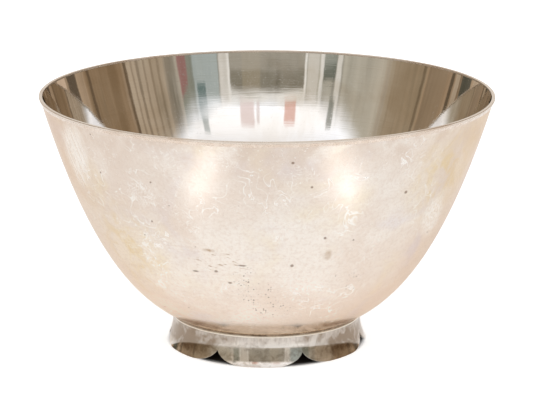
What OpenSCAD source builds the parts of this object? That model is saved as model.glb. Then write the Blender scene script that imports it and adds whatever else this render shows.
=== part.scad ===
// Footed silver punch bowl: a deep raised bowl with a thin applied rim wire,
// standing on a ring foot whose lower edge is cut into seven rounded lobes.
// Millimetres, +Z up, origin on the table at the centre of the foot.

/* [Bowl] */
// Overall height, table to the top of the rim wire
bowl_h = 185.9; // [160:0.1:220]
// Outside radius of the wall, carried up to the full height
mouth_r = 164.55; // [140:0.05:190]
// Height of the outside of the bottom above the table
bottom_z = 12.6; // [9:0.1:16]
// Power of the wall's curve: larger makes a flatter bottom and a steeper wall
curve_power = 3.28; // [2.6:0.01:4]
// Thickness of the raised sheet
sheet_t = 1.3; // [1:0.05:2]

/* [Rim] */
// How far the rim wire stands out past the wall
rim_overhang = 0.45; // [0.2:0.05:1]
// Width of the rim wire across its top
rim_w = 2.6; // [2.4:0.1:4]
// Height of the rim wire
rim_h = 1.5; // [1.2:0.1:3]
// Rounding of the rim wire's two top corners
rim_round = 0.55; // [0.2:0.05:0.7]
// Width of the solder fillet under the rim wire
rim_seam_w = 0.75; // [0.5:0.05:0.85]
// Height of the same fillet down the wall
rim_seam_h = 1.2; // [0.8:0.1:3]

/* [Foot] */
// Outside radius of the foot's upright neck
neck_r = 69.2; // [62:0.1:70.5]
// Outside radius of the foot at the table
foot_r = 74.1; // [72:0.1:77]
// Height over which the foot flares out from neck to base
flare_h = 20.4; // [15:0.1:20.4]
// Thickness of the foot's wall
foot_t = 1.8; // [1.5:0.1:3]

/* [Notches between the lobes] */
// Directions of the seven notches, turned from +X towards +Y; spaced by hand, so not quite evenly
notch_turns = [-176, -120, -68.5, -14.3, 35.3, 84.9, 134.5];
// Half width of a notch at the table
notch_half_w = 22.4; // [12:0.1:24]
// Half width of the oval that rounds each corner of a lobe
corner_w = 23; // [22.5:0.1:30]
// Half height of the same oval
corner_h = 12; // [8:0.1:14]

/* [Collar] */
// Radius of the half-round bead at the top of the foot
bead_r = 0.8; // [0.6:0.05:1.2]
// Height of the bead's centre above the table
bead_z = 21.3; // [18:0.1:21.5]
// Width of the solder seam between the bead and the bowl
foot_seam_w = 0.5; // [0.3:0.05:0.55]

/* [Hidden] */
$fn = 96;

wall_steps = 36;         // flat-sided bands down the wall
curve_steps = 16;        // straight steps along the arc of the foot's flare
corner_steps = 14;       // straight steps round each corner of a lobe
lip_z = bowl_h - rim_h;  // the sheet's trimmed edge, under the rim wire
rise = bowl_h - bottom_z;
trim = 1.02;             // the sheet is drawn this much wider, then trimmed at the lip
notch_reach = 30;        // radial length of a notch cutter, from inside the wall to outside it

// Outside of the wall: a power curve, flat at the middle and steep at the rim.
function wall_z(r) = bottom_z + rise * pow(r / mouth_r, curve_power);
function wall_r(z) = mouth_r * pow((z - bottom_z) / rise, 1 / curve_power);
function wall_slope(r) = curve_power * rise / mouth_r * pow(r / mouth_r, curve_power - 1);
// Unit vector square to the wall, pointing into the bowl.
function inward(r) = let (m = wall_slope(r)) [-m, 1] / sqrt(1 + m * m);
function step_r(i) = trim * mouth_r * pow(i / wall_steps, 0.72);

outer_wall = [for (i = [0:wall_steps]) let (r = step_r(i)) [r, wall_z(r)]];
inner_wall = [for (i = [wall_steps:-1:0]) let (r = step_r(i)) [r, wall_z(r)] + sheet_t * inward(r)];

// The foot flares outwards along one hollow arc that is upright where it meets the neck.
spread = foot_r - neck_r;
hollow_r = (flare_h * flare_h + spread * spread) / (2 * spread);
flare_turn = asin(flare_h / hollow_r);
hollow_arc = [for (i = [curve_steps:-1:0]) let (a = flare_turn * i / curve_steps)
    [neck_r + hollow_r * (1 - cos(a)), flare_h - hollow_r * sin(a)]];
foot_line = concat(hollow_arc, [[neck_r, bowl_h / 4]]);

// A lobe's corner is a stretch of an oval that is tangent to the table.
cusp_turn = asin(notch_half_w / corner_w);
corner_line = [for (i = [0:corner_steps]) let (t = cusp_turn * i / corner_steps)
    [notch_half_w - corner_w * sin(t), corner_h * (1 - cos(t))]];

rim_out = wall_r(bowl_h) + rim_overhang;
rim_in = rim_out - rim_w;

// Everything on or above the bowl's outside, used to fit the foot to the bowl.
module filled_bowl_section() polygon(concat(outer_wall, [[0, wall_z(trim * mouth_r)]]));

module rim_section() {
    translate([rim_in, lip_z]) {
        square([rim_w, rim_h - rim_round]);
        translate([rim_round, 0]) square([rim_w - 2 * rim_round, rim_h]);
        for (x = [rim_round, rim_w - rim_round])
            translate([x, rim_h - rim_round]) circle(rim_round);
    }
}

module foot_section() {
    inner_line = [for (i = [len(foot_line) - 1:-1:0]) foot_line[i] - [foot_t, 0]];
    difference() {
        polygon(concat(foot_line, inner_line));
        filled_bowl_section();
    }
}

module bead_section() {
    difference() {
        translate([neck_r, bead_z]) circle(bead_r);
        translate([0, bead_z - bead_r]) square([neck_r, 2 * bead_r]);
        filled_bowl_section();
    }
}

// One notch: a pointed arch between two lobes, drawn across the foot's wall.
module notch_cutter() {
    left_half = [for (i = [corner_steps - 1:-1:0]) [-corner_line[i][0], corner_line[i][1]]];
    base = [[-notch_half_w, -1], [notch_half_w, -1]];
    translate([foot_r - notch_reach / 2, 0, 0]) rotate([90, 0, 90])
        linear_extrude(notch_reach) polygon(concat(corner_line, left_half, base));
}

// Deep bowl raised from one sheet, trimmed flat at the lip.
module bowl_body() {
    color("#dccfc0") rotate_extrude() intersection() {
        polygon(concat(outer_wall, inner_wall));
        square([2 * mouth_r, lip_z]);
    }
}

// Flat wire with rounded top corners, standing on the lip.
module rim_wire() {
    color("#efe6dc") rotate_extrude() rim_section();
}

// Solder fillet in the corner between the wall and the wire's overhang.
module rim_solder_seam() {
    inner_r = wall_r(lip_z) - sheet_t / 2;
    outer_r = wall_r(lip_z) + rim_seam_w;
    foot_z = lip_z - rim_seam_h;
    color("#a89c8e") rotate_extrude() difference() {
        polygon([[inner_r, lip_z], [inner_r, foot_z], [wall_r(foot_z), foot_z], [outer_r, lip_z]]);
        filled_bowl_section();
    }
}

// Half-round bead round the top of the foot.
module foot_collar() {
    color("#e6dbcd") rotate_extrude() bead_section();
}

// Solder that fills the gap between the bead and the bowl.
module foot_solder_seam() {
    color("#6f6254") rotate_extrude() difference() {
        translate([neck_r, bead_z]) square([foot_seam_w, flare_h]);
        bead_section();
        filled_bowl_section();
    }
}

// Upright neck flaring to a base that stands on seven rounded lobes.
module foot_ring() {
    color("#cfc2b2") difference() {
        rotate_extrude() foot_section();
        for (turn = notch_turns)
            rotate(turn) notch_cutter();
    }
}

bowl_body();
rim_wire();
rim_solder_seam();
foot_collar();
foot_solder_seam();
foot_ring();
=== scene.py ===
"""Visual model of a footed silver punch bowl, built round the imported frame.

The bowl is one raised silver sheet with an applied rim wire. It stands on a ring foot whose lower edge
is cut into seven rounded lobes. Places come from the frame's boxes and sizes from each class's fields.
Lengths are in metres, with +Z up, the bowl's axis on Z and its front towards -Y.
"""
import logging
import math
from dataclasses import dataclass, field
from enum import Enum

import bmesh
import bpy
from mathutils import Matrix, Vector, noise


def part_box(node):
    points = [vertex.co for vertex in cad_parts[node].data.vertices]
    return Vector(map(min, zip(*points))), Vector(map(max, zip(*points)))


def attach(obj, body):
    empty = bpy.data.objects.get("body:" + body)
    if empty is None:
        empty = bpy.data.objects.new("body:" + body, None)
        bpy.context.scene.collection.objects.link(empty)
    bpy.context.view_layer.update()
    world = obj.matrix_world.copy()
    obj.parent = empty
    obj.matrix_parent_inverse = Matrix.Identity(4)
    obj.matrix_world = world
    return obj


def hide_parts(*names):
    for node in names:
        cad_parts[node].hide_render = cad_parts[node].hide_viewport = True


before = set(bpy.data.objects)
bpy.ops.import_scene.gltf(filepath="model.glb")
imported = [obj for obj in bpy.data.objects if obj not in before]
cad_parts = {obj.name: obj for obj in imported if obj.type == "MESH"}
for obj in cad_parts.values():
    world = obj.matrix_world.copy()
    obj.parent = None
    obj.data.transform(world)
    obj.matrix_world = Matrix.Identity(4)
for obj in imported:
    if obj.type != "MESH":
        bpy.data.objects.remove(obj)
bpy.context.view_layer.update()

BODY = "root"
MM = 0.001
MERGE_DIST = 1e-6
LOG = logging.getLogger("punch_bowl")

Socket = bpy.types.NodeSocket
Tree = bpy.types.NodeTree
Colour = Socket | str | tuple[float, float, float, float]


class MixSocket(Enum):
    """Sockets of a Mix node that mixes colours, by number, because their names repeat."""

    A = 6
    B = 7
    RESULT = 2


# ---------------------------------------------------------------- node helpers


def linear(hex_colour: str) -> tuple[float, float, float, float]:
    """Turn an sRGB hex colour into linear red, green, blue and alpha.

    Args:
        hex_colour: Six hex digits after a hash.

    Returns:
        The linear colour, with an alpha of 1.
    """
    parts = [int(hex_colour[i : i + 2], 16) / 255 for i in (1, 3, 5)]
    red, green, blue = (c / 12.92 if c <= 0.04045 else ((c + 0.055) / 1.055) ** 2.4 for c in parts)
    return red, green, blue, 1.0


def add(
    tree: Tree,
    kind: str,
    settings: dict[str, object] | None = None,
    inputs: dict[str | int, object] | None = None,
    out: str | int = 0,
) -> Socket:
    """Add one node to a tree, set it up and link it.

    Args:
        tree: The node tree that takes the node.
        kind: The node's class, such as ShaderNodeMath.
        settings: Properties of the node.
        inputs: A value, or another node's output socket, for each input by name or number.
        out: The output to hand back, by name or number.

    Returns:
        The chosen output socket of the new node.
    """
    node = tree.nodes.new(kind)
    for key, value in (settings or {}).items():
        setattr(node, key, value)
    for key, value in (inputs or {}).items():
        if isinstance(value, bpy.types.NodeSocket):
            tree.links.new(value, node.inputs[key])
        else:
            node.inputs[key].default_value = value
    return node.outputs[out]


def coats(tree: Tree, base: Colour, layers: list[tuple[Socket, Colour]]) -> Socket:
    """Lay colours over a base, one after another. A colour is a hex value, a linear one or a socket.

    Args:
        tree: The node tree.
        base: The colour underneath.
        layers: For each coat, how much of it shows, from 0 to 1, and its colour.

    Returns:
        The colour with every coat on it.
    """
    colour = linear(base) if isinstance(base, str) else base
    for share, coat in layers:
        over = linear(coat) if isinstance(coat, str) else coat
        inputs = {0: share, MixSocket.A.value: colour, MixSocket.B.value: over}
        colour = add(tree, "ShaderNodeMix", {"data_type": "RGBA"}, inputs, MixSocket.RESULT.value)
    return colour


# ---------------------------------------------------------------- marks on silver


@dataclass(frozen=True)
class Marks:
    """Masks, from 0 to 1, for the marks that handling and polishing leave on silver."""

    tree: Tree
    point: Socket

    def shifted(self, seed: float) -> Socket:
        """Object coordinates moved by a seed, so that two patterns of one kind differ."""
        offset = (seed * 1.7, seed * -2.3, seed * 3.1)
        return add(self.tree, "ShaderNodeVectorMath", {"operation": "ADD"}, {0: self.point, 1: offset})

    def cut(self, value: Socket, low: float, high: float, top: float = 1.0) -> Socket:
        """Spread the stretch from low to high over 0 to top, with soft ends."""
        inputs = {"Value": value, "From Min": low, "From Max": high, "To Max": top}
        return add(self.tree, "ShaderNodeMapRange", {"interpolation_type": "SMOOTHSTEP"}, inputs)

    def times(self, first: Socket, second: Socket | float) -> Socket:
        """Multiply two masks."""
        return add(self.tree, "ShaderNodeMath", {"operation": "MULTIPLY"}, {0: first, 1: second})

    def plus(self, first: Socket, second: Socket | float) -> Socket:
        """Add two masks and hold the sum between 0 and 1."""
        settings = {"operation": "ADD", "use_clamp": True}
        return add(self.tree, "ShaderNodeMath", settings, {0: first, 1: second})

    def cloud(self, wave_mm: float, seed: float, detail: float = 3.0, distort: float = 0.0) -> Socket:
        """Soft uneven patches.

        Args:
            wave_mm: Distance from patch to patch.
            seed: Moves the pattern.
            detail: How many finer layers it has.
            distort: How much the patches are drawn out and curled.

        Returns:
            The noise, about 0.5 on average.
        """
        inputs = {
            "Vector": self.shifted(seed),
            "Scale": 1 / (wave_mm * MM),
            "Detail": detail,
            "Roughness": 0.55,
            "Distortion": distort,
        }
        return add(self.tree, "ShaderNodeTexNoise", None, inputs, "Fac")

    def streaks(
        self, length_mm: float, width_mm: float, tilt_deg: tuple[float, float, float], seed: float
    ) -> Socket:
        """Noise drawn out along one direction, as a cloth drags grit over the metal.

        Args:
            length_mm: Length of a streak.
            width_mm: Distance from streak to streak.
            tilt_deg: Turn of the streaks about X, Y and Z, from lying along X.
            seed: Moves the pattern.

        Returns:
            The noise, about 0.5 on average.
        """
        turned = add(
            self.tree,
            "ShaderNodeMapping",
            {"vector_type": "TEXTURE"},
            {
                "Vector": self.shifted(seed),
                "Rotation": tuple(math.radians(a) for a in tilt_deg),
                "Scale": (length_mm * MM, width_mm * MM, width_mm * MM),
            },
        )
        inputs = {"Vector": turned, "Scale": 1.0, "Detail": 2.0, "Roughness": 0.5}
        return add(self.tree, "ShaderNodeTexNoise", None, inputs, "Fac")

    def polish_lines(self, spacing_mm: float, length_mm: float, seed: float) -> Socket:
        """Fine level lines that run round the bowl, left by polishing it as it turned.

        Args:
            spacing_mm: Distance from line to line.
            length_mm: Length of a line.
            seed: Moves the pattern.

        Returns:
            The noise, about 0.5 on average.
        """
        scale = (1 / (length_mm * MM), 1 / (length_mm * MM), 1 / (spacing_mm * MM))
        inputs = {"Vector": self.shifted(seed), "Scale": scale}
        spread = add(self.tree, "ShaderNodeMapping", None, inputs)
        inputs = {"Vector": spread, "Scale": 1.0, "Detail": 3.0, "Roughness": 0.6}
        return add(self.tree, "ShaderNodeTexNoise", None, inputs, "Fac")

    def curls(self, wave_mm: float, width: float, seed: float, distort: float = 1.2) -> Socket:
        """Thin curling lines: where a smooth noise crosses its middle value.

        Args:
            wave_mm: Size of the curls.
            width: Half width of a line, as a share of the noise's range.
            seed: Moves the pattern.
            distort: How much the lines wriggle.

        Returns:
            A mask that is 1 on a line.
        """
        value = self.cloud(wave_mm, seed, 2.0, distort)
        gap = add(self.tree, "ShaderNodeMath", {"operation": "SUBTRACT"}, {0: value, 1: 0.5})
        size = add(self.tree, "ShaderNodeMath", {"operation": "ABSOLUTE"}, {0: gap})
        return self.cut(size, width, 0.0)

    def dots(self, cell_mm: float, radius_mm: float, share: float, seed: float) -> Socket:
        """Scattered round dots.

        Args:
            cell_mm: Distance between the places where a dot may be.
            radius_mm: Radius of the largest dot.
            share: Share of those places that have a dot.
            seed: Moves the pattern.

        Returns:
            A mask that is 1 inside a dot.
        """
        wobble = self.cloud(cell_mm * 0.4, seed, 1.0)
        moved = add(
            self.tree,
            "ShaderNodeVectorMath",
            {"operation": "MULTIPLY_ADD"},
            {0: wobble, 1: (radius_mm * MM,) * 3, 2: self.shifted(seed)},
        )
        inputs = {"Vector": moved, "Scale": 1 / (cell_mm * MM)}
        distance = add(self.tree, "ShaderNodeTexVoronoi", None, inputs, "Distance")
        colour = add(self.tree, "ShaderNodeTexVoronoi", None, inputs, "Color")
        lot = add(self.tree, "ShaderNodeSeparateColor", None, {"Color": colour}, "Red")
        size = self.cut(lot, 1 - share, 1.0, radius_mm / cell_mm)
        gap = add(self.tree, "ShaderNodeMath", {"operation": "SUBTRACT"}, {0: size, 1: distance})
        return self.cut(gap, 0.0, 0.35 * radius_mm / cell_mm)

    def near(self, place: Vector, reach_mm: tuple[float, float, float], soft: float = 0.6) -> Socket:
        """A soft patch round one place.

        Args:
            place: The patch's centre.
            reach_mm: Half sizes along X, Y and Z.
            soft: Share of the half size over which it fades.

        Returns:
            A mask that is 1 at the place and 0 outside the reach.
        """
        inputs = {0: self.point, 1: tuple(place)}
        away = add(self.tree, "ShaderNodeVectorMath", {"operation": "SUBTRACT"}, inputs)
        inputs = {0: away, 1: tuple(r * MM for r in reach_mm)}
        sized = add(self.tree, "ShaderNodeVectorMath", {"operation": "DIVIDE"}, inputs)
        length = add(self.tree, "ShaderNodeVectorMath", {"operation": "LENGTH"}, {0: sized}, "Value")
        return self.cut(length, 1.0, 1.0 - soft)

    def height(self, low: float, high: float) -> Socket:
        """A mask that goes from 0 at the height low to 1 at the height high."""
        level = add(self.tree, "ShaderNodeSeparateXYZ", None, {"Vector": self.point}, "Z")
        return self.cut(level, low, high)


# ---------------------------------------------------------------- the bowl's line


@dataclass(frozen=True)
class WallCurve:
    """Outside line of the bowl's wall, where height is a power of the radius."""

    bottom_z: float
    mouth_r: float
    full_h: float
    power: float

    @classmethod
    def from_frame(cls, power: float = 3.28) -> "WallCurve":
        """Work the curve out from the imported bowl's and rim wire's boxes.

        Args:
            power: Power of the curve. A larger one makes a flatter bottom and a steeper wall.

        Returns:
            The curve.
        """
        low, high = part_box("bowl_body")
        full_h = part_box("rim_wire")[1].z
        share = (high.z - low.z) / (full_h - low.z)
        return cls(low.z, high.x / share ** (1 / power), full_h, power)

    def z(self, r: float) -> float:
        """Height of the wall's outside at a radius."""
        return self.bottom_z + (self.full_h - self.bottom_z) * (r / self.mouth_r) ** self.power

    def r(self, z: float) -> float:
        """Radius of the wall's outside at a height."""
        share = (z - self.bottom_z) / (self.full_h - self.bottom_z)
        return self.mouth_r * share ** (1 / self.power)

    def place(self, azimuth_deg: float, z_mm: float) -> Vector:
        """A place on the wall's outside.

        Args:
            azimuth_deg: Turn from the front, -Y, towards +X.
            z_mm: Height above the table.

        Returns:
            The place.
        """
        turn, r = math.radians(azimuth_deg), self.r(z_mm * MM)
        return Vector((r * math.sin(turn), -r * math.cos(turn), z_mm * MM))


# ---------------------------------------------------------------- finishes


@dataclass(frozen=True)
class Finish:
    """A finish: one Principled material on object coordinates, which each kind fills in."""

    name: str

    def make(self) -> bpy.types.Material:
        """Make the material.

        Returns:
            The new material.
        """
        material = bpy.data.materials.new(self.name)
        material.use_nodes = True
        tree = material.node_tree
        shader = tree.nodes["Principled BSDF"]
        point = add(tree, "ShaderNodeTexCoord", out="Object")
        self.fill(Marks(tree, point), shader)
        return material

    def fill(self, marks: Marks, shader: bpy.types.Node) -> None:
        """Set the shader up. Each finish has its own."""
        raise NotImplementedError

    def uneven(
        self, marks: Marks, shader: bpy.types.Node, heights: list[tuple[Socket, float]]
    ) -> None:
        """Stack bumps onto the shader.

        Args:
            marks: The material's mask maker.
            shader: The material's shader.
            heights: For each bump, its height mask and its full depth in millimetres.
        """
        normal: Socket | None = None
        for mask, depth_mm in heights:
            inputs = {"Height": mask, "Distance": depth_mm * MM, "Strength": 1.0}
            if normal is not None:
                inputs["Normal"] = normal
            normal = add(marks.tree, "ShaderNodeBump", None, inputs)
        marks.tree.links.new(normal, shader.inputs["Normal"])


@dataclass(frozen=True)
class TarnishedSilver(Finish):
    """Raised sterling silver, hand polished long ago and toned since: a warm, hazy mirror.

    The eye gets a cream metal with rose, straw and lilac toning in soft patches, brighter worn curls
    and hairlines, a few brown pits, and reflections that are blurred except close by. Painted shade
    darkens a band under the rim, painted light brightens the wall low down by the foot, and a painted
    highlight shows at two places on the sides.
    """

    wall: WallCurve
    cream: str = "#F4ECE3"
    rose: str = "#E9DACD"
    lilac: str = "#DFD5D9"
    straw: str = "#EDDDBD"
    toned: str = "#DDCBBC"
    # Painted light: a lighter, warmer colour for the wall low down by the foot.
    low_wall_painted_light: str = "#FAF0E0"
    old_gold: str = "#E6D0A4"
    # Worn marks, and a painted highlight at two places on the sides.
    rubbed_and_highlight: str = "#FAF6F0"
    pit: str = "#74563F"
    stain: str = "#BFA48A"
    edge_cast: str = "#F0E2D5"
    haze: float = 0.19
    # Single larger pits: azimuth in degrees, then height above the table, half width and half height
    # in millimetres.
    spots: tuple[tuple[float, float, float, float], ...] = (
        (7.7, 91, 1.7, 1.6),
        (39.4, 140, 1.6, 1.7),
        (16.6, 112, 1.4, 1.4),
        (6.2, 170.5, 1.5, 1.3),
        (11.3, 152, 1.2, 1.2),
        (-23, 83.5, 3.0, 1.0),
        (-16, 85, 1.8, 1.4),
        (-7.5, 91, 4.0, 0.9),
        (-12, 76, 2.0, 1.1),
    )

    def fill(self, marks: Marks, shader: bpy.types.Node) -> None:
        """Tone, rub, scratch and pit the outside of the bowl.

        Args:
            marks: The material's mask maker.
            shader: The material's shader.
        """
        tree = marks.tree
        # Real polishing lines are about 0.1 mm apart, and these are 0.9 mm apart, so that they show.
        lines = marks.polish_lines(0.9, 60, 5.0)
        grain = marks.cut(marks.cloud(2.2, 4.0, 5.0), 0.40, 0.76, 0.48)
        rubs_and_highlights = self.rubs_and_highlights(marks)
        pits = self.pits(marks)
        layers = [
            (marks.cut(marks.cloud(95, 1.0, 4.0, 0.6), 0.38, 0.64), self.rose),
            (marks.cut(marks.cloud(60, 2.0, 3.0, 0.8), 0.52, 0.75, 0.6), self.lilac),
            (marks.cut(marks.cloud(75, 3.0, 3.0, 0.8), 0.50, 0.78, 0.8), self.straw),
            # Painted shade: a darker band under the rim, with ragged toning in it.
            (self.rim_shade_and_toning(marks), self.toned),
            # Painted light: the wall made lighter low down by the foot.
            (marks.height(36 * MM, 18 * MM), self.low_wall_painted_light),
            (self.golden(marks), self.old_gold),
            (grain, self.toned),
            (marks.cut(lines, 0.52, 0.80, 0.36), self.toned),
            (self.stains(marks), self.stain),
            (rubs_and_highlights, self.rubbed_and_highlight),
            (pits, self.pit),
        ]
        tree.links.new(coats(tree, self.cream, layers), shader.inputs["Base Color"])
        shader.inputs["Metallic"].default_value = 1.0
        shader.inputs["Specular Tint"].default_value = linear(self.edge_cast)
        patch = marks.cut(marks.cloud(48, 6.0, 4.0, 0.5), 0.35, 0.70)
        blur = {"operation": "MULTIPLY_ADD"}
        rough = add(tree, "ShaderNodeMath", blur, {0: patch, 1: 0.08, 2: self.haze - 0.04})
        rough = add(tree, "ShaderNodeMath", blur, {0: rubs_and_highlights, 1: 0.10, 2: rough})
        tree.links.new(rough, shader.inputs["Roughness"])
        sunk = add(tree, "ShaderNodeMath", {"operation": "SUBTRACT"}, {0: 1.0, 1: pits})
        dents = marks.cloud(42, 7.0, 2.0)
        bumps = [(dents, 0.22), (lines, 0.010), (grain, 0.012), (rubs_and_highlights, 0.02), (sunk, 0.08)]
        self.uneven(marks, shader, bumps)

    def golden(self, marks: Marks) -> Socket:
        """A warm wash over two broad places on the sides, stronger in small patches.

        Args:
            marks: The material's mask maker.

        Returns:
            Where the wash shows.
        """
        sides = marks.plus(
            marks.near(self.wall.place(54, 148), (48, 60, 50), 0.9),
            marks.near(self.wall.place(-46, 92), (42, 54, 56), 0.9),
        )
        wash = marks.cut(marks.cloud(13, 8.0, 4.0, 0.8), 0.42, 0.68, 0.6)
        return marks.times(sides, marks.plus(wash, 0.28))

    def rim_shade_and_toning(self, marks: Marks) -> Socket:
        """A darker, ragged band under the rim: painted shade that darkens the top of the wall, with
        ragged toning in it.

        Args:
            marks: The material's mask maker.

        Returns:
            Where the toning shows.
        """
        ragged = marks.cloud(26, 11.0, 5.0, 0.7)
        band = marks.height(self.wall.full_h - 42 * MM, self.wall.full_h - 3 * MM)
        return marks.times(band, marks.cut(ragged, 0.32, 0.66, 0.85))

    def rubs_and_highlights(self, marks: Marks) -> Socket:
        """Bright marks: worn curls in patches and hairlines, and a painted highlight, streaked like
        wear, at two places on the sides.

        Args:
            marks: The material's mask maker.

        Returns:
            Where the marks show.
        """
        place = self.wall.place
        patches = marks.cut(marks.cloud(36, 21.0, 2.0), 0.50, 0.64)
        curls = marks.times(marks.curls(17, 0.020, 22.0), patches)
        patches = marks.cut(marks.cloud(30, 24.0), 0.54, 0.66, 0.8)
        small = marks.times(marks.curls(8, 0.022, 23.0, 2.0), patches)
        total = marks.plus(curls, small)
        # Real hairlines are about 0.1 mm wide, and these are 0.75 mm, so that they show.
        for seed, tilt in ((31.0, (0, 70, 0)), (32.0, (0, -60, 20)), (33.0, (0, 25, -10))):
            hair = marks.cut(marks.streaks(24, 0.75, tilt, seed), 0.68, 0.75, 0.9)
            total = marks.plus(total, hair)
        down_wall = marks.cut(marks.streaks(70, 1.6, (0, 76, 0), 41.0), 0.42, 0.60)
        # Painted highlight: two bright places near the sides, with wear streaks in them.
        worn = marks.near(place(-59, 156), (16, 30, 36))
        worn = marks.plus(worn, marks.near(place(57, 113), (12, 26, 24)))
        total = marks.plus(total, marks.times(marks.plus(down_wall, 0.35), worn))
        knot = marks.times(marks.near(place(-35, 141), (17, 17, 13)), marks.curls(6, 0.05, 42.0, 2.5))
        return marks.plus(total, knot)

    def pits(self, marks: Marks) -> Socket:
        """Brown corrosion pits: a few anywhere, and a crowd of fine ones low on the front.

        Args:
            marks: The material's mask maker.

        Returns:
            Where the pits are.
        """
        place = self.wall.place
        few = marks.dots(6, 1.0, 0.14, 51.0)
        # The finest real pits are about 0.2 mm across, and these are up to 1.4 mm, so that they show.
        fine = marks.dots(1.7, 0.70, 0.8, 52.0)
        crowd = marks.near(place(-7, 80), (13, 14, 15))
        crowd = marks.plus(crowd, marks.near(place(-3, 66), (17, 16, 17)))
        crowd = marks.plus(crowd, marks.near(place(1, 53), (19, 16, 12)))
        crowd = marks.plus(crowd, marks.times(marks.near(place(30, 72), (13, 14, 12)), 0.7))
        crowd = marks.times(crowd, marks.cut(marks.cloud(11, 53.0, 2.0), 0.28, 0.50))
        total = marks.plus(marks.times(few, 0.7), marks.times(fine, marks.times(crowd, 0.85)))
        for azimuth, z, width, height in self.spots:
            spot = marks.near(place(azimuth, z), (width, max(width, 2.5), height), 0.6)
            total = marks.plus(total, marks.times(spot, 0.7))
        return total

    def stains(self, marks: Marks) -> Socket:
        """Brown dashes and thumb smudges at chosen places on the front.

        Args:
            marks: The material's mask maker.

        Returns:
            Where the stains show.
        """
        place = self.wall.place
        dashes = marks.cut(marks.streaks(9, 1.3, (0, 12, 0), 61.0), 0.62, 0.70)
        total = marks.times(dashes, marks.near(place(-14, 92), (26, 20, 16)))
        for azimuth, z, reach in ((18.4, 98, (4.0, 4, 7.5)), (-17, 102, (6, 6, 2))):
            smudge = marks.times(marks.near(place(azimuth, z), reach, 0.7), marks.cloud(3, 62.0, 4.0))
            total = marks.plus(total, smudge)
        return total


@dataclass(frozen=True)
class PolishedSilver(Finish):
    """Sterling silver kept bright by use: a clear, slightly wavy mirror with a faint brown cast.

    The eye gets sharp reflections that ripple where the sheet was hammered, with hairline scratches
    and a light haze in patches.
    """

    bright: str = "#EEEBE8"
    toned: str = "#DFD7CD"
    clear: float = 0.03
    hazy: float = 0.075
    ripple_mm: float = 0.08

    def fill(self, marks: Marks, shader: bpy.types.Node) -> None:
        """Polish the metal and leave the marks of use.

        Args:
            marks: The material's mask maker.
            shader: The material's shader.
        """
        tree = marks.tree
        tone = marks.cut(marks.cloud(70, 71.0, 4.0, 0.8), 0.42, 0.70)
        # Polishing lines and hairlines are drawn some five times as coarse as real ones, to show.
        lines = marks.polish_lines(0.8, 45, 72.0)
        hair = marks.cut(marks.streaks(30, 0.5, (0, 40, 30), 74.0), 0.70, 0.78)
        hair = marks.plus(hair, marks.cut(marks.streaks(24, 0.5, (0, -50, -20), 75.0), 0.70, 0.78))
        layers = [(tone, self.toned), (marks.cut(lines, 0.5, 0.8, 0.45), self.toned)]
        colour = coats(tree, self.bright, layers + self.toning(marks))
        tree.links.new(colour, shader.inputs["Base Color"])
        shader.inputs["Metallic"].default_value = 1.0
        haze = marks.cut(marks.cloud(34, 73.0, 4.0, 0.6), 0.45, 0.75)
        blur = marks.plus(haze, marks.times(hair, 0.6))
        inputs = {0: blur, 1: self.hazy - self.clear, 2: self.clear}
        rough = add(tree, "ShaderNodeMath", {"operation": "MULTIPLY_ADD"}, inputs)
        tree.links.new(rough, shader.inputs["Roughness"])
        ripple = marks.cloud(30, 76.0, 2.0)
        self.uneven(marks, shader, [(ripple, self.ripple_mm), (lines, 0.006), (hair, 0.006)])

    def toning(self, marks: Marks) -> list[tuple[Socket, Colour]]:
        """Further coats of toning: none here. A kind that tones in places has its own."""
        return []


@dataclass(frozen=True)
class FootSilver(PolishedSilver):
    """Polished sterling silver whose neck, close under the collar, is painted darker and greyer: painted
    shade under the bowl.

    The eye gets a clear mirror on the lobes and a greyer, streakier metal with brown patches above. The
    patches are toning, and towards the left and right ends painted shade.
    """

    # The neck's painted shade.
    neck_shade_grey: str = "#C6BEB6"
    # Brown for toning, and for painted shade at the left and right ends.
    brown: str = "#86715B"
    neck_low: float = 14 * MM
    neck_high: float = 19 * MM

    def toning(self, marks: Marks) -> list[tuple[Socket, Colour]]:
        """Coats for the neck's painted shade and for the brown patches, which are toning and painted
        shade.

        Args:
            marks: The material's mask maker.

        Returns:
            For each coat, where it shows and its colour.
        """
        # Painted shade: the neck darker and greyer under the bowl, streaked like brushed metal.
        neck = marks.height(self.neck_low, self.neck_high)
        worn = marks.cut(marks.streaks(22, 1.2, (0, 90, 0), 91.0), 0.40, 0.62)
        worn = marks.plus(marks.times(worn, 0.5), 0.45)
        patch = marks.cut(marks.cloud(26, 92.0, 4.0, 0.6), 0.46, 0.66, 0.6)
        patch = marks.times(patch, marks.height(6 * MM, 15 * MM))
        # Painted shade: browner towards the left and right ends.
        patch = marks.plus(patch, self.painted_end_shade(marks))
        mottle = marks.cut(marks.cloud(5, 94.0, 5.0, 0.8), 0.46, 0.70, 0.42)
        patch = marks.plus(patch, mottle)
        return [(marks.times(neck, worn), self.neck_shade_grey), (marks.times(patch, 0.85), self.brown)]

    def painted_end_shade(self, marks: Marks) -> Socket:
        """Painted shade: brown patches towards the foot's left and right ends, weaker on the neck.

        Args:
            marks: The material's mask maker.

        Returns:
            Where the patches show.
        """
        across = add(marks.tree, "ShaderNodeSeparateXYZ", None, {"Vector": marks.point}, "X")
        across = add(marks.tree, "ShaderNodeMath", {"operation": "ABSOLUTE"}, {0: across})
        ends = marks.cut(across, 26 * MM, 58 * MM)
        ends = marks.times(ends, marks.cut(marks.cloud(5, 93.0, 5.0, 0.9), 0.05, 0.55))
        ends = marks.times(ends, marks.height(1.5 * MM, 8 * MM))
        fade = marks.plus(marks.times(marks.height(20 * MM, 13 * MM), 0.6), 0.4)
        return marks.times(ends, fade)


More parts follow.
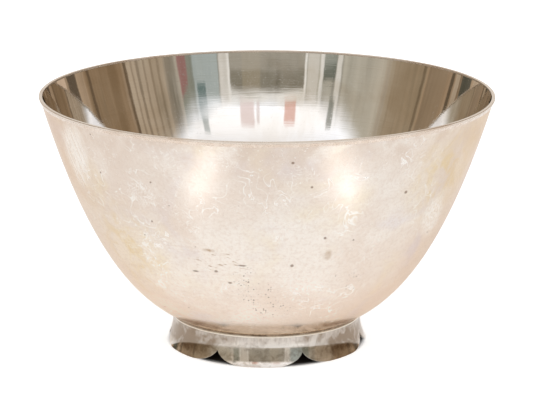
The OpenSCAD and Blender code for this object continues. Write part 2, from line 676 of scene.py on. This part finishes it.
@dataclass(frozen=True)
class DullSolder(Finish):
    """Silver solder left as it flowed, dark with tarnish that polishing never reaches.

    The eye gets a dull line with soft lumps, uneven in colour.
    """

    dark: str = "#857565"
    light: str = "#B8A897"
    lumps_mm: float = 0.08

    def fill(self, marks: Marks, shader: bpy.types.Node) -> None:
        """Darken the solder unevenly and leave it rough.

        Args:
            marks: The material's mask maker.
            shader: The material's shader.
        """
        share = marks.cut(marks.cloud(6, 81.0, 4.0, 0.5), 0.35, 0.70)
        colour = coats(marks.tree, self.dark, [(share, self.light)])
        marks.tree.links.new(colour, shader.inputs["Base Color"])
        shader.inputs["Metallic"].default_value = 1.0
        rough = marks.cut(marks.cloud(2, 82.0, 3.0), 0.2, 0.8, 0.55)
        marks.tree.links.new(rough, shader.inputs["Roughness"])
        self.uneven(marks, shader, [(marks.cloud(1.6, 83.0, 3.0), self.lumps_mm)])


# ---------------------------------------------------------------- mesh helpers


def spin_round(mesh: bmesh.types.BMesh, steps: int) -> None:
    """Spin everything in a mesh once round Z, and close the seam and any pole.

    Args:
        mesh: A section in the XZ plane.
        steps: Number of steps in the full turn.
    """
    bmesh.ops.spin(
        mesh,
        geom=mesh.verts[:] + mesh.edges[:],
        cent=(0, 0, 0),
        axis=(0, 0, 1),
        angle=math.tau,
        steps=steps,
        use_merge=True,
    )
    bmesh.ops.remove_doubles(mesh, verts=mesh.verts[:], dist=MERGE_DIST)
    bmesh.ops.recalc_face_normals(mesh, faces=mesh.faces[:])


def slab_section(width: float, low: float, high: float, rows: int = 1) -> bmesh.types.BMesh:
    """Start a section: an upright rectangle of faces in the XZ plane, centred on X = 0.

    Args:
        width: Size along X.
        low: Height of its foot.
        high: Height of its top.
        rows: Number of faces from foot to top.

    Returns:
        The new mesh.
    """
    mesh = bmesh.new()
    bmesh.ops.create_grid(mesh, x_segments=1, y_segments=rows, size=0.5)
    stand = Matrix.Rotation(math.pi / 2, 4, "X")
    size = Matrix.Diagonal((width, 1.0, high - low, 1.0))
    lift = Matrix.Translation((0, 0, (high + low) / 2))
    bmesh.ops.transform(mesh, matrix=lift @ size @ stand, verts=mesh.verts[:])
    return mesh


def keep_outline(mesh: bmesh.types.BMesh) -> None:
    """Delete a flat section's faces and inner edges, so that only its closed outline is left.

    Args:
        mesh: The section.
    """
    inner = [edge for edge in mesh.edges if not edge.is_boundary]
    bmesh.ops.delete(mesh, geom=mesh.faces[:], context="FACES_ONLY")
    bmesh.ops.delete(mesh, geom=inner, context="EDGES")


def round_corners(mesh: bmesh.types.BMesh, verts: list[bmesh.types.BMVert], radius: float) -> None:
    """Round chosen corners of a flat section.

    Args:
        mesh: The section.
        verts: The corners.
        radius: How far from its corner the rounding starts.
    """
    bmesh.ops.bevel(
        mesh,
        geom=verts,
        offset=radius,
        offset_type="OFFSET",
        affect="VERTICES",
        segments=6,
        profile=0.5,
        material=-1,
    )


@dataclass
class Piece:
    """One visible piece: its name, the CAD node it stands for and its slot, which is not used."""

    name: str
    node: str
    slot: str

    def settle(
        self, mesh: bmesh.types.BMesh, finishes: list[Finish], crease_deg: float
    ) -> bpy.types.Object:
        """Turn a finished bmesh into an object that rides on the bowl.

        Args:
            mesh: The finished mesh, which is freed.
            finishes: The piece's finishes, in the order of its faces' material numbers.
            crease_deg: Edges sharper than this stay crisp.

        Returns:
            The new object.
        """
        data = bpy.data.meshes.new(self.name)
        mesh.to_mesh(data)
        mesh.free()
        for finish in finishes:
            data.materials.append(finish.make())
        data.shade_smooth()
        data.set_sharp_from_angle(angle=math.radians(crease_deg))
        piece = bpy.data.objects.new(self.name, data)
        bpy.context.scene.collection.objects.link(piece)
        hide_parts(self.node)
        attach(piece, BODY)
        LOG.info("%s: %d faces for %s", self.name, len(data.polygons), self.node)
        return piece


# ---------------------------------------------------------------- the bowl's parts


@dataclass
class RaisedBowl:
    """The bowl, raised from one sheet, with its solder seam and wire at the lip."""

    wall: WallCurve
    sheet_t: float = 1.3 * MM
    steps: int = 256
    rings: int = 84
    ring_crowd: float = 0.72
    wire_w: float = 2.6 * MM
    wire_round: float = 0.55 * MM
    wire_under: float = 0.2 * MM
    seam_drop: float = 2.4 * MM
    seam_inset: float = 0.06 * MM
    seam_thin: float = 0.02 * MM

    def build(self) -> None:
        """Build the sheet, the wire and the seam."""
        self.build_sheet()
        self.build_wire()
        self.build_seam()

    def build_sheet(self) -> bpy.types.Object:
        """Raise the sheet: spin its outside line, then give it its thickness.

        Returns:
            The sheet.
        """
        mesh = bmesh.new()
        lip_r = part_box("bowl_body")[1].x
        radii = [lip_r * (i / self.rings) ** self.ring_crowd for i in range(self.rings + 1)]
        line = [mesh.verts.new((r, 0, self.wall.z(r))) for r in radii]
        for low, high in zip(line, line[1:]):
            mesh.edges.new((low, high))
        spin_round(mesh, self.steps)
        if max(mesh.faces, key=lambda face: face.calc_center_median().z).normal.z > 0:
            bmesh.ops.reverse_faces(mesh, faces=mesh.faces[:])
        bmesh.ops.solidify(mesh, geom=mesh.faces[:], thickness=self.sheet_t)
        for face in mesh.faces:
            face.material_index = int(self.is_inside(face))
        finishes = [
            TarnishedSilver("tarnished_sterling_outside", self.wall),
            PolishedSilver("polished_sterling_inside"),
        ]
        piece = Piece("raised_bowl", "bowl_body", "bowl_silver")
        return piece.settle(mesh, finishes, crease_deg=50)

    def is_inside(self, face: bmesh.types.BMFace) -> bool:
        """Tell the sheet's inner faces from its outer ones and its edge.

        Args:
            face: A face of the sheet.

        Returns:
            True if the face looks into the bowl.
        """
        middle = face.calc_center_median()
        outward = Vector((middle.x, middle.y, 0))
        slope = self.wall.power * (middle.z - self.wall.bottom_z) / max(outward.length, MM)
        if outward.length > 0:
            outward.normalize()
        return (outward * slope - Vector((0, 0, 1))).dot(face.normal) < 0

    def build_wire(self) -> bpy.types.Object:
        """Draw the rim wire: a flat strip with rounded corners, bent round the lip.

        Returns:
            The wire.
        """
        low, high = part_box("rim_wire")
        mesh = slab_section(self.wire_w, low.z, high.z)
        keep_outline(mesh)
        middle = (low.z + high.z) / 2
        top = [vert for vert in mesh.verts if vert.co.z > middle]
        under = [vert for vert in mesh.verts if vert.co.z < middle]
        round_corners(mesh, top, self.wire_round)
        round_corners(mesh, under, self.wire_under)
        bmesh.ops.translate(mesh, vec=(high.x - self.wire_w / 2, 0, 0), verts=mesh.verts[:])
        spin_round(mesh, 2 * self.steps)
        finish = PolishedSilver(
            "worn_sterling_wire",
            bright="#EADDD0",
            toned="#D8C4B1",
            clear=0.26,
            hazy=0.40,
            ripple_mm=0.03,
        )
        return Piece("rim_wire_drawn", "rim_wire", "rim_silver").settle(mesh, [finish], crease_deg=40)

    def build_seam(self) -> bpy.types.Object:
        """Run the solder into the corner under the wire.

        Returns:
            The solder.
        """
        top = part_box("rim_wire")[0].z
        low = top - self.seam_drop
        mesh = slab_section(1.0, low, top)
        keep_outline(mesh)
        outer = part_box("rim_wire")[1].x - self.seam_inset
        inner = self.wall.r(top) - self.sheet_t / 2
        foot = self.wall.r(low) + self.seam_thin
        for vert in mesh.verts:
            above = vert.co.z > (low + top) / 2
            vert.co.x = inner if vert.co.x < 0 else (outer if above else foot)
        spin_round(mesh, self.steps)
        # Painted light: the solder under the rim wire is made pale, close to the wall's cream, over the
        # shade under the wire.
        finish = DullSolder("pale_solder_at_rim_painted_light", dark="#E3D1C1", light="#EFE1D4", lumps_mm=0.012)
        piece = Piece("rim_solder_run", "rim_solder_seam", "silver_solder")
        return piece.settle(mesh, [finish], crease_deg=60)


@dataclass
class LobedFoot:
    """The ring foot with its lobes, the bead round its top and the solder that holds it."""

    wall: WallCurve
    neck_r: float = 69.2 * MM
    foot_r: float = 74.1 * MM
    flare_h: float = 20.4 * MM
    wall_t: float = 1.8 * MM
    notch_turns: tuple[float, ...] = (-176.0, -120.0, -68.5, -14.3, 35.3, 84.9, 134.5)
    notch_half_w: float = 22.4 * MM
    corner_w: float = 23.0 * MM
    corner_h: float = 12.0 * MM
    edge_round: float = 0.28 * MM
    columns: int = 64
    rows: int = 40
    cusp_crowd: float = 0.8
    bead_r: float = 0.8 * MM
    bead_z: float = 21.3 * MM
    bury: float = 0.2 * MM
    solder_r: float = 0.42 * MM
    solder_out: float = 0.08 * MM
    solder_drop: float = 0.25 * MM
    flow_wave: float = 5 * MM
    flow_share: float = 0.0012
    steps: int = 256

    def build(self) -> None:
        """Build the ring, the bead and the solder."""
        self.build_ring()
        self.build_bead()
        self.build_solder()

    def outside_r(self, z: float) -> float:
        """Outside radius of the foot at a height: one hollow arc below an upright neck.

        Args:
            z: Height above the table.

        Returns:
            The radius.
        """
        spread = self.foot_r - self.neck_r
        hollow_r = (self.flare_h**2 + spread**2) / (2 * spread)
        down = max(self.flare_h - z, 0.0)
        return self.neck_r + hollow_r - math.sqrt(hollow_r**2 - down**2)

    def edge_z(self, across: float) -> float:
        """Height of the foot's lower edge, which rises to a cusp between two lobes.

        Args:
            across: Distance from the nearest cusp.

        Returns:
            The height above the table.
        """
        if across >= self.notch_half_w:
            return 0.0
        share = (self.notch_half_w - across) / self.corner_w
        return self.corner_h * (1 - math.sqrt(1 - share * share))

    def build_ring(self) -> bpy.types.Object:
        """Spin the foot's wall with a rounded lower edge, then flare it and shape its lobes.

        Returns:
            The ring.
        """
        top = self.wall.z(self.neck_r) + self.bury
        mesh = slab_section(self.wall_t, 0.0, top, self.rows)
        keep_outline(mesh)
        corners = [vert for vert in mesh.verts if vert.co.z < self.edge_round]
        round_corners(mesh, corners, self.edge_round)
        middle_r = self.neck_r - self.wall_t / 2
        bmesh.ops.translate(mesh, vec=(middle_r, 0, 0), verts=mesh.verts[:])
        spin_round(mesh, len(self.notch_turns) * self.columns)
        for vert in mesh.verts:
            self.shape(vert, middle_r, top)
        bmesh.ops.recalc_face_normals(mesh, faces=mesh.faces[:])
        finish = FootSilver(
            "bright_sterling_foot", bright="#E2DBD3", toned="#C8B8A6", clear=0.08, hazy=0.19
        )
        return Piece("lobed_foot", "foot_ring", "foot_silver").settle(mesh, [finish], crease_deg=35)

    def shape(self, vert: bmesh.types.BMVert, middle_r: float, top: float) -> None:
        """Move one vertex of the plain ring to its place on the lobed, flared foot.

        Args:
            vert: The vertex.
            middle_r: Radius of the plain ring's middle.
            top: Height of the ring.
        """
        depth = vert.co.xy.length - middle_r
        count = len(self.notch_turns)
        turn = math.atan2(vert.co.y, vert.co.x) / math.tau * count
        lobe = math.floor(turn)
        share = turn - lobe
        share -= self.cusp_crowd * math.sin(math.tau * share) / math.tau
        start = math.radians(self.notch_turns[lobe % count])
        span = (math.radians(self.notch_turns[(lobe + 1) % count]) - start) % math.tau
        across = self.foot_r * math.sin(min(share, 1 - share) * span)
        edge = self.edge_z(across)
        z = edge + vert.co.z * (top - edge) / top
        r = self.outside_r(z) - self.wall_t / 2 + depth
        angle = start + share * span
        vert.co = Vector((r * math.cos(angle), r * math.sin(angle), z))

    def build_bead(self) -> bpy.types.Object:
        """Bend the half-round bead round the top of the foot.

        Returns:
            The bead.
        """
        mesh = self.rod_section(24, self.bead_r, self.neck_r, self.bead_z)
        spin_round(mesh, self.steps)
        finish = PolishedSilver(
            "bright_sterling_bead",
            bright="#EFE8DD",
            toned="#D3C4AF",
            clear=0.10,
            hazy=0.2,
            ripple_mm=0.02,
        )
        return Piece("foot_bead", "foot_collar", "collar_silver").settle(mesh, [finish], crease_deg=60)

    def build_solder(self) -> bpy.types.Object:
        """Run solder, a little unevenly, between the bead and the bowl.

        Returns:
            The solder.
        """
        centre_r = self.neck_r + self.solder_out
        mesh = self.rod_section(12, self.solder_r, centre_r, self.wall.z(centre_r) - self.solder_drop)
        spin_round(mesh, self.steps)
        for vert in mesh.verts:
            flow = noise.noise(vert.co / self.flow_wave)
            vert.co.xy *= 1 + self.flow_share * flow
        finish = DullSolder("tarnished_solder_at_foot")
        piece = Piece("foot_solder_run", "foot_solder_seam", "silver_solder")
        return piece.settle(mesh, [finish], crease_deg=60)

    def rod_section(self, sides: int, radius: float, centre_r: float, z: float) -> bmesh.types.BMesh:
        """Start a section: a circle in the XZ plane.

        Args:
            sides: Number of its sides.
            radius: Its radius.
            centre_r: Its centre's distance from the bowl's axis.
            z: Its centre's height.

        Returns:
            The new mesh.
        """
        mesh = bmesh.new()
        bmesh.ops.create_circle(mesh, segments=sides, radius=radius)
        stand = Matrix.Rotation(math.pi / 2, 4, "X")
        shift = Matrix.Translation((centre_r, 0, z))
        bmesh.ops.transform(mesh, matrix=shift @ stand, verts=mesh.verts[:])
        return mesh


# ---------------------------------------------------------------- the studio


BELOW_ALL = -1.0
ABOVE_ALL = 2.0


@dataclass(frozen=True)
class Panel:
    """An upright strip of the studio that shows only in the metal, with soft edges.

    It runs from the level low to the level high. A level is a direction's height over its distance
    along the floor.
    """

    azimuth_deg: float
    half_deg: float
    tint: str
    low: float = BELOW_ALL
    high: float = ABOVE_ALL
    share: float = 0.85
    soft: float = 0.012

    def mask(self, marks: Marks, azimuth: Socket, level: Socket) -> Socket:
        """Where the strip stands.

        Args:
            marks: The world's mask maker.
            azimuth: Turn of a direction from -Y towards +X, in radians.
            level: The direction's level.

        Returns:
            A mask that is 1 on the strip.
        """
        middle = math.radians(self.azimuth_deg)
        gap = add(marks.tree, "ShaderNodeMath", {"operation": "SUBTRACT"}, {0: azimuth, 1: middle})
        gap = add(marks.tree, "ShaderNodeMath", {"operation": "ABSOLUTE"}, {0: gap})
        half = math.radians(self.half_deg)
        mask = marks.cut(gap, half + self.soft * 2 / 3, half - self.soft / 3, self.share)
        if self.low > BELOW_ALL:
            mask = marks.times(mask, marks.cut(level, self.low - self.soft, self.low))
        if self.high < ABOVE_ALL:
            mask = marks.times(mask, marks.cut(level, self.high + self.soft, self.high))
        return mask


# What stands round the bowl, told only in plain strips. A later strip covers an earlier one.
PANELS = (
    Panel(24.6, 2.6, "#E4DFD6"),
    Panel(35.5, 7.5, "#B0BAB8", share=0.8),
    Panel(46.5, 4.0, "#84877A", share=0.8),
    Panel(38.5, 2.4, "#5D726E", low=0.468, high=0.60),
    Panel(48.5, 2.2, "#A36363", low=0.39, high=0.452, share=0.65),
    Panel(71.0, 11.5, "#BEAE98", share=0.75),
    Panel(62.5, 0.5, "#7B6A55", share=0.5),
    Panel(66.8, 0.6, "#7B6A55", share=0.5),
    Panel(71.2, 0.5, "#7B6A55", share=0.5),
    Panel(75.4, 0.7, "#6E5E4B", share=0.55),
    Panel(79.0, 0.5, "#7B6A55", share=0.5),
    Panel(83.4, 0.9, "#5E4E3C", share=0.8),
    Panel(100.0, 14.0, "#8F7659", share=0.6),
    Panel(110.0, 1.0, "#5A4A3A", share=0.7),
    Panel(125.0, 4.0, "#4B4034"),
    Panel(136.0, 4.5, "#D2B9A0"),
    Panel(-26.2, 3.0, "#DBD6CC"),
    Panel(-35.5, 3.6, "#60665B", low=0.425, high=0.452),
    Panel(-35.5, 3.6, "#9EA197", high=0.425),
    Panel(-31.2, 0.9, "#F1EEE7"),
    Panel(-41.0, 1.3, "#E7E3DA"),
    Panel(-56.0, 12.5, "#C4BEAE", share=0.7),
    Panel(-70.5, 3.5, "#B7AD9B", share=0.6),
    Panel(-84.0, 12.0, "#A8987F", share=0.6),
    Panel(-94.0, 0.8, "#6E5F4C", share=0.7),
    Panel(-104.0, 7.0, "#8C7C67", share=0.6),
    Panel(-116.0, 1.2, "#564B3D"),
    Panel(-120.5, 1.8, "#BFAE98"),
    Panel(-129.0, 4.4, "#434840"),
    Panel(-140.0, 4.0, "#C4AE95"),
    Panel(0.0, 21.5, "#8A8475", high=0.472, share=1.0),
    Panel(9.0, 5.0, "#A3977F", high=0.46, share=0.6),
    Panel(-6.0, 1.2, "#6B6454", high=0.46, share=0.6),
    Panel(0.0, 21.0, "#B9B3A6", high=0.424, share=0.6),
    Panel(0.0, 22.4, "#F4F1EA", low=0.478, high=0.492, share=1.0),
    Panel(22.0, 0.5, "#F4F1EA", high=0.485, share=1.0),
    Panel(-22.0, 0.5, "#F4F1EA", high=0.485, share=1.0),
)
# What hangs in front of the bright ceiling.
HANGINGS = (
    Panel(12.0, 4.2, "#EBD3CF", low=0.50, high=0.56, share=0.7),
    Panel(5.5, 0.8, "#D9C3BE", low=0.50, high=0.55, share=0.6),
    Panel(-14.0, 3.2, "#DE8358", low=0.50, high=0.555, share=0.6),
    Panel(38.5, 1.8, "#6F827E", low=0.55, high=0.595, share=0.55),
    Panel(-39.0, 1.6, "#74796C", low=0.50, high=0.575, share=0.7),
)


@dataclass(frozen=True)
class Room:
    """The muted studio round the bowl, by direction, which only reflections see.

    A direction's azimuth is its turn from -Y towards +X in radians, turned is the same without its
    sign, and rise is its height on a ball of radius 1.
    """

    marks: Marks
    azimuth: Socket
    turned: Socket
    level: Socket
    rise: Socket

    @classmethod
    def around(cls, tree: Tree) -> "Room":
        """Work out the azimuth and level of every direction.

        Args:
            tree: The world's node tree.

        Returns:
            The room.
        """
        way = add(tree, "ShaderNodeTexCoord", out="Generated")
        parts = {axis: add(tree, "ShaderNodeSeparateXYZ", None, {"Vector": way}, axis) for axis in "XYZ"}
        back = add(tree, "ShaderNodeMath", {"operation": "MULTIPLY"}, {0: parts["Y"], 1: -1.0})
        azimuth = add(tree, "ShaderNodeMath", {"operation": "ARCTAN2"}, {0: parts["X"], 1: back})
        turned = add(tree, "ShaderNodeMath", {"operation": "ABSOLUTE"}, {0: azimuth})
        # The distance is the mean of a square room's and a round one's.
        reach = {a: add(tree, "ShaderNodeMath", {"operation": "ABSOLUTE"}, {0: parts[a]}) for a in "XY"}
        square = add(tree, "ShaderNodeMath", {"operation": "MAXIMUM"}, {0: reach["X"], 1: reach["Y"]})
        sunk = add(tree, "ShaderNodeMath", {"operation": "POWER"}, {0: parts["Z"], 1: 2.0})
        settings = {"operation": "SUBTRACT", "use_clamp": True}
        left = add(tree, "ShaderNodeMath", settings, {0: 1.0, 1: sunk})
        ring = add(tree, "ShaderNodeMath", {"operation": "SQRT"}, {0: left})
        both = add(tree, "ShaderNodeMath", {"operation": "ADD"}, {0: square, 1: ring})
        deep = add(tree, "ShaderNodeMath", {"operation": "MULTIPLY"}, {0: both, 1: 0.5})
        level = add(tree, "ShaderNodeMath", {"operation": "DIVIDE"}, {0: parts["Z"], 1: deep})
        return cls(Marks(tree, way), azimuth, turned, level, parts["Z"])

    def walls(self) -> Socket:
        """Colours below the ceiling: uneven walls, the strips before them and a pale horizon.

        Returns:
            The colour.
        """
        marks = self.marks
        inputs = {"X": self.azimuth, "Y": marks.times(self.level, 0.2)}
        flat = add(marks.tree, "ShaderNodeCombineXYZ", None, inputs)
        inputs = {"Vector": flat, "Scale": 4.0, "Detail": 6.0, "Roughness": 0.68}
        tone = add(marks.tree, "ShaderNodeTexNoise", None, inputs, "Fac")
        inputs = {"Vector": marks.point, "Scale": 9.0, "Detail": 5.0}
        mottle = add(marks.tree, "ShaderNodeTexNoise", None, inputs, "Fac")
        side = marks.cut(self.turned, math.radians(35), math.radians(85))
        dark = coats(marks.tree, "#7F7D72", [(side, "#77654F")])
        pale = coats(marks.tree, "#BDB9AC", [(side, "#B59D82")])
        horizon = marks.cut(self.level, 0.018, 0.004)
        horizon = marks.times(horizon, marks.cut(self.level, -0.05, -0.02))
        layers = [(marks.cut(tone, 0.36, 0.62), pale)]
        layers += [(panel.mask(marks, self.azimuth, self.level), panel.tint) for panel in PANELS]
        layers += [(marks.cut(mottle, 0.5, 0.8, 0.35), "#54503F"), (horizon, "#FBF8F4")]
        return coats(marks.tree, dark, layers)

    def ceiling(self) -> tuple[Socket, Socket]:
        """The bright ceiling, which starts lower straight ahead and is dimmer at the sides.

        Returns:
            Where it shows, and its colour.
        """
        marks = self.marks
        ahead = marks.cut(self.turned, math.radians(44), math.radians(22))
        ahead = marks.times(marks.cut(self.level, 0.486, 0.522), ahead)
        shows = marks.plus(marks.cut(self.level, 0.475, 0.61), ahead)
        layers = [
            (marks.cut(self.level, 0.55, 0.65), (1.08, 1.10, 1.15, 1.0)),
            (marks.cut(self.rise, 0.72, 0.98), "#CFCDC9"),
            (marks.cut(self.turned, math.radians(70), math.radians(110), 0.8), "#A39A90"),
        ]
        return shows, coats(marks.tree, (1.34, 1.37, 1.43, 1.0), layers)

    def colour(self) -> Socket:
        """Put the walls, the ceiling, what hangs from it and the pale wall behind together.

        Returns:
            The colour of every direction.
        """
        marks = self.marks
        layers = [self.ceiling()]
        layers += [(item.mask(marks, self.azimuth, self.level), item.tint) for item in HANGINGS]
        behind = marks.cut(self.turned, math.radians(142), math.radians(165), 0.85)
        return coats(marks.tree, self.walls(), layers + [(behind, "#F2EFEA")])


@dataclass
class Studio:
    """Plain pale floor, soft light all round and the camera.

    The camera's distances are in rim radii. A pool of light is its x, its y, its turn in degrees and
    its watts.
    """

    rim_r: float
    camera_back: float = 10.5
    camera_up: float = 3.288
    look_down_deg: float = 14.2305
    turn_right_deg: float = 0.0647
    lean_deg: float = 0.1298
    lens_mm: float = 162.69
    floor_half: float = 4.0
    pools: list[tuple[float, float, float, float]] = field(
        default_factory=lambda: [(-0.139, -0.262, 12.0, 0.013), (0.163, -0.249, -12.0, 0.0165)]
    )
    pool_z: float = 0.03
    pool_size: tuple[float, float] = (0.034, 0.10)
    light_tint: tuple[float, float, float] = (0.92, 0.96, 1.0)

    def build(self) -> None:
        """Set up the camera, the floor, the light and the world."""
        self.build_camera()
        self.build_floor()
        self.build_light()
        self.build_world()
        bpy.context.scene.view_settings.view_transform = "Standard"

    def build_camera(self) -> None:
        """Stand the camera in front of the bowl, looking down on it from a long way off."""
        data = bpy.data.cameras.new("camera")
        data.lens = self.lens_mm
        data.sensor_width = 36.0
        data.clip_end = 50.0
        camera = bpy.data.objects.new("camera", data)
        bpy.context.scene.collection.objects.link(camera)
        place = Matrix.Translation((0, -self.camera_back * self.rim_r, self.camera_up * self.rim_r))
        turn = Matrix.Rotation(-math.radians(self.turn_right_deg), 4, "Z")
        tip = Matrix.Rotation(math.radians(90 - self.look_down_deg), 4, "X")
        lean = Matrix.Rotation(math.radians(self.lean_deg), 4, "Z")
        camera.matrix_world = place @ turn @ tip @ lean
        bpy.context.scene.camera = camera

    def build_floor(self) -> None:
        """Lay the floor: matt white paper, which gives the eye a plain pale ground and soft shade. Under
        the foot the paper is painted dark, painted shade, and in reflections it glows round the foot,
        painted light.
        """
        mesh = bmesh.new()
        bmesh.ops.create_grid(mesh, x_segments=8, y_segments=8, size=self.floor_half)
        data = bpy.data.meshes.new("floor")
        mesh.to_mesh(data)
        mesh.free()
        floor = bpy.data.objects.new("floor", data)
        bpy.context.scene.collection.objects.link(floor)
        material = bpy.data.materials.new("white_paper_sweep")
        material.use_nodes = True
        tree = material.node_tree
        tree.nodes.clear()
        seen = add(tree, "ShaderNodeLightPath", out="Is Camera Ray")
        mirrored = add(tree, "ShaderNodeLightPath", out="Is Glossy Ray")
        marks = Marks(tree, add(tree, "ShaderNodeTexCoord", out="Object"))
        away = add(tree, "ShaderNodeVectorMath", {"operation": "LENGTH"}, {0: marks.point}, "Value")
        r = self.rim_r
        # The lift that the eye sees stops at the foot, so that the shade under the foot stays dark.
        lit = marks.cut(away, r * 0.425, r * 0.454, 0.5)
        # In the metal the floor glows, most close round the foot and not at all under it: painted light
        # that lifts the shade round the bowl.
        near = marks.cut(away, r * 1.8, r * 0.5, 0.25)
        near = marks.plus(near, marks.cut(away, r * 0.95, r * 0.5, 0.07))
        under = add(tree, "ShaderNodeMath", {"operation": "ADD"}, {0: near, 1: 0.03})
        under = marks.times(under, marks.cut(away, r * 0.40, r * 0.46))
        strength = marks.plus(marks.times(seen, lit), marks.times(mirrored, under))
        lift = add(tree, "ShaderNodeEmission", None, {"Strength": strength})
        # Painted shade: the paper is darkened inside the foot.
        painted_shade_in_foot = marks.cut(away, r * 0.45, r * 0.40)
        tint = coats(tree, "#F6F6F6", [(painted_shade_in_foot, "#4B443E")])
        paper = add(tree, "ShaderNodeBsdfDiffuse", None, {"Color": tint})
        both = add(tree, "ShaderNodeAddShader", None, {0: paper, 1: lift})
        add_output(tree, "ShaderNodeOutputMaterial", both)
        data.materials.append(material)

    def build_light(self) -> None:
        """Hang one wide soft light overhead and lay two soft pools of light before the bowl."""
        down = Vector((0, 0, -1))
        self.area("overhead", (0.0, -0.2, 1.9), (1.6, 1.6), 3.0, down)
        for i, (x, y, turn, watts) in enumerate(self.pools):
            self.area(f"pool_{i}", (x, y, self.pool_z), self.pool_size, watts, down, turn)

    def area(
        self,
        name: str,
        place: tuple[float, float, float],
        size: tuple[float, float],
        watts: float,
        aim: Vector,
        turn_deg: float = 0.0,
    ) -> None:
        """Add one soft rectangular light.

        Args:
            name: The light's name.
            place: Its centre.
            size: Its width and length.
            watts: Its power.
            aim: The direction it shines in.
            turn_deg: Its turn about that direction.
        """
        data = bpy.data.lights.new(name, "AREA")
        data.shape = "RECTANGLE"
        data.size, data.size_y = size
        data.energy = watts
        data.color = self.light_tint
        light = bpy.data.objects.new(name, data)
        light.location = place
        turn = Matrix.Rotation(math.radians(turn_deg), 3, "Z")
        light.rotation_euler = (turn @ aim.to_track_quat("-Z", "Y").to_matrix()).to_euler()
        light.visible_camera = False
        light.visible_glossy = False
        bpy.context.scene.collection.objects.link(light)

    def build_world(self) -> None:
        """Surround the bowl: white to the eye and for soft light, a muted studio in reflections."""
        world = bpy.data.worlds.new("studio")
        world.use_nodes = True
        tree = world.node_tree
        tree.nodes.clear()
        room = Room.around(tree).colour()
        mirrored = add(tree, "ShaderNodeLightPath", out="Is Glossy Ray")
        seen = coats(tree, "#FFFFFF", [(mirrored, room)])
        background = add(tree, "ShaderNodeBackground", None, {"Color": seen, "Strength": 1.0})
        add_output(tree, "ShaderNodeOutputWorld", background)
        bpy.context.scene.world = world


def add_output(tree: Tree, kind: str, surface: Socket) -> None:
    """Add an output node of a kind and link its surface."""
    node = tree.nodes.new(kind)
    tree.links.new(surface, node.inputs["Surface"])


# ---------------------------------------------------------------- main


def main() -> None:
    """Build the studio, the bowl and its foot."""
    logging.basicConfig(level=logging.INFO, format="%(name)s: %(message)s")
    wall = WallCurve.from_frame()
    Studio(rim_r=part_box("rim_wire")[1].x).build()
    RaisedBowl(wall).build()
    LobedFoot(wall).build()


if __name__ == "__main__":
    main()
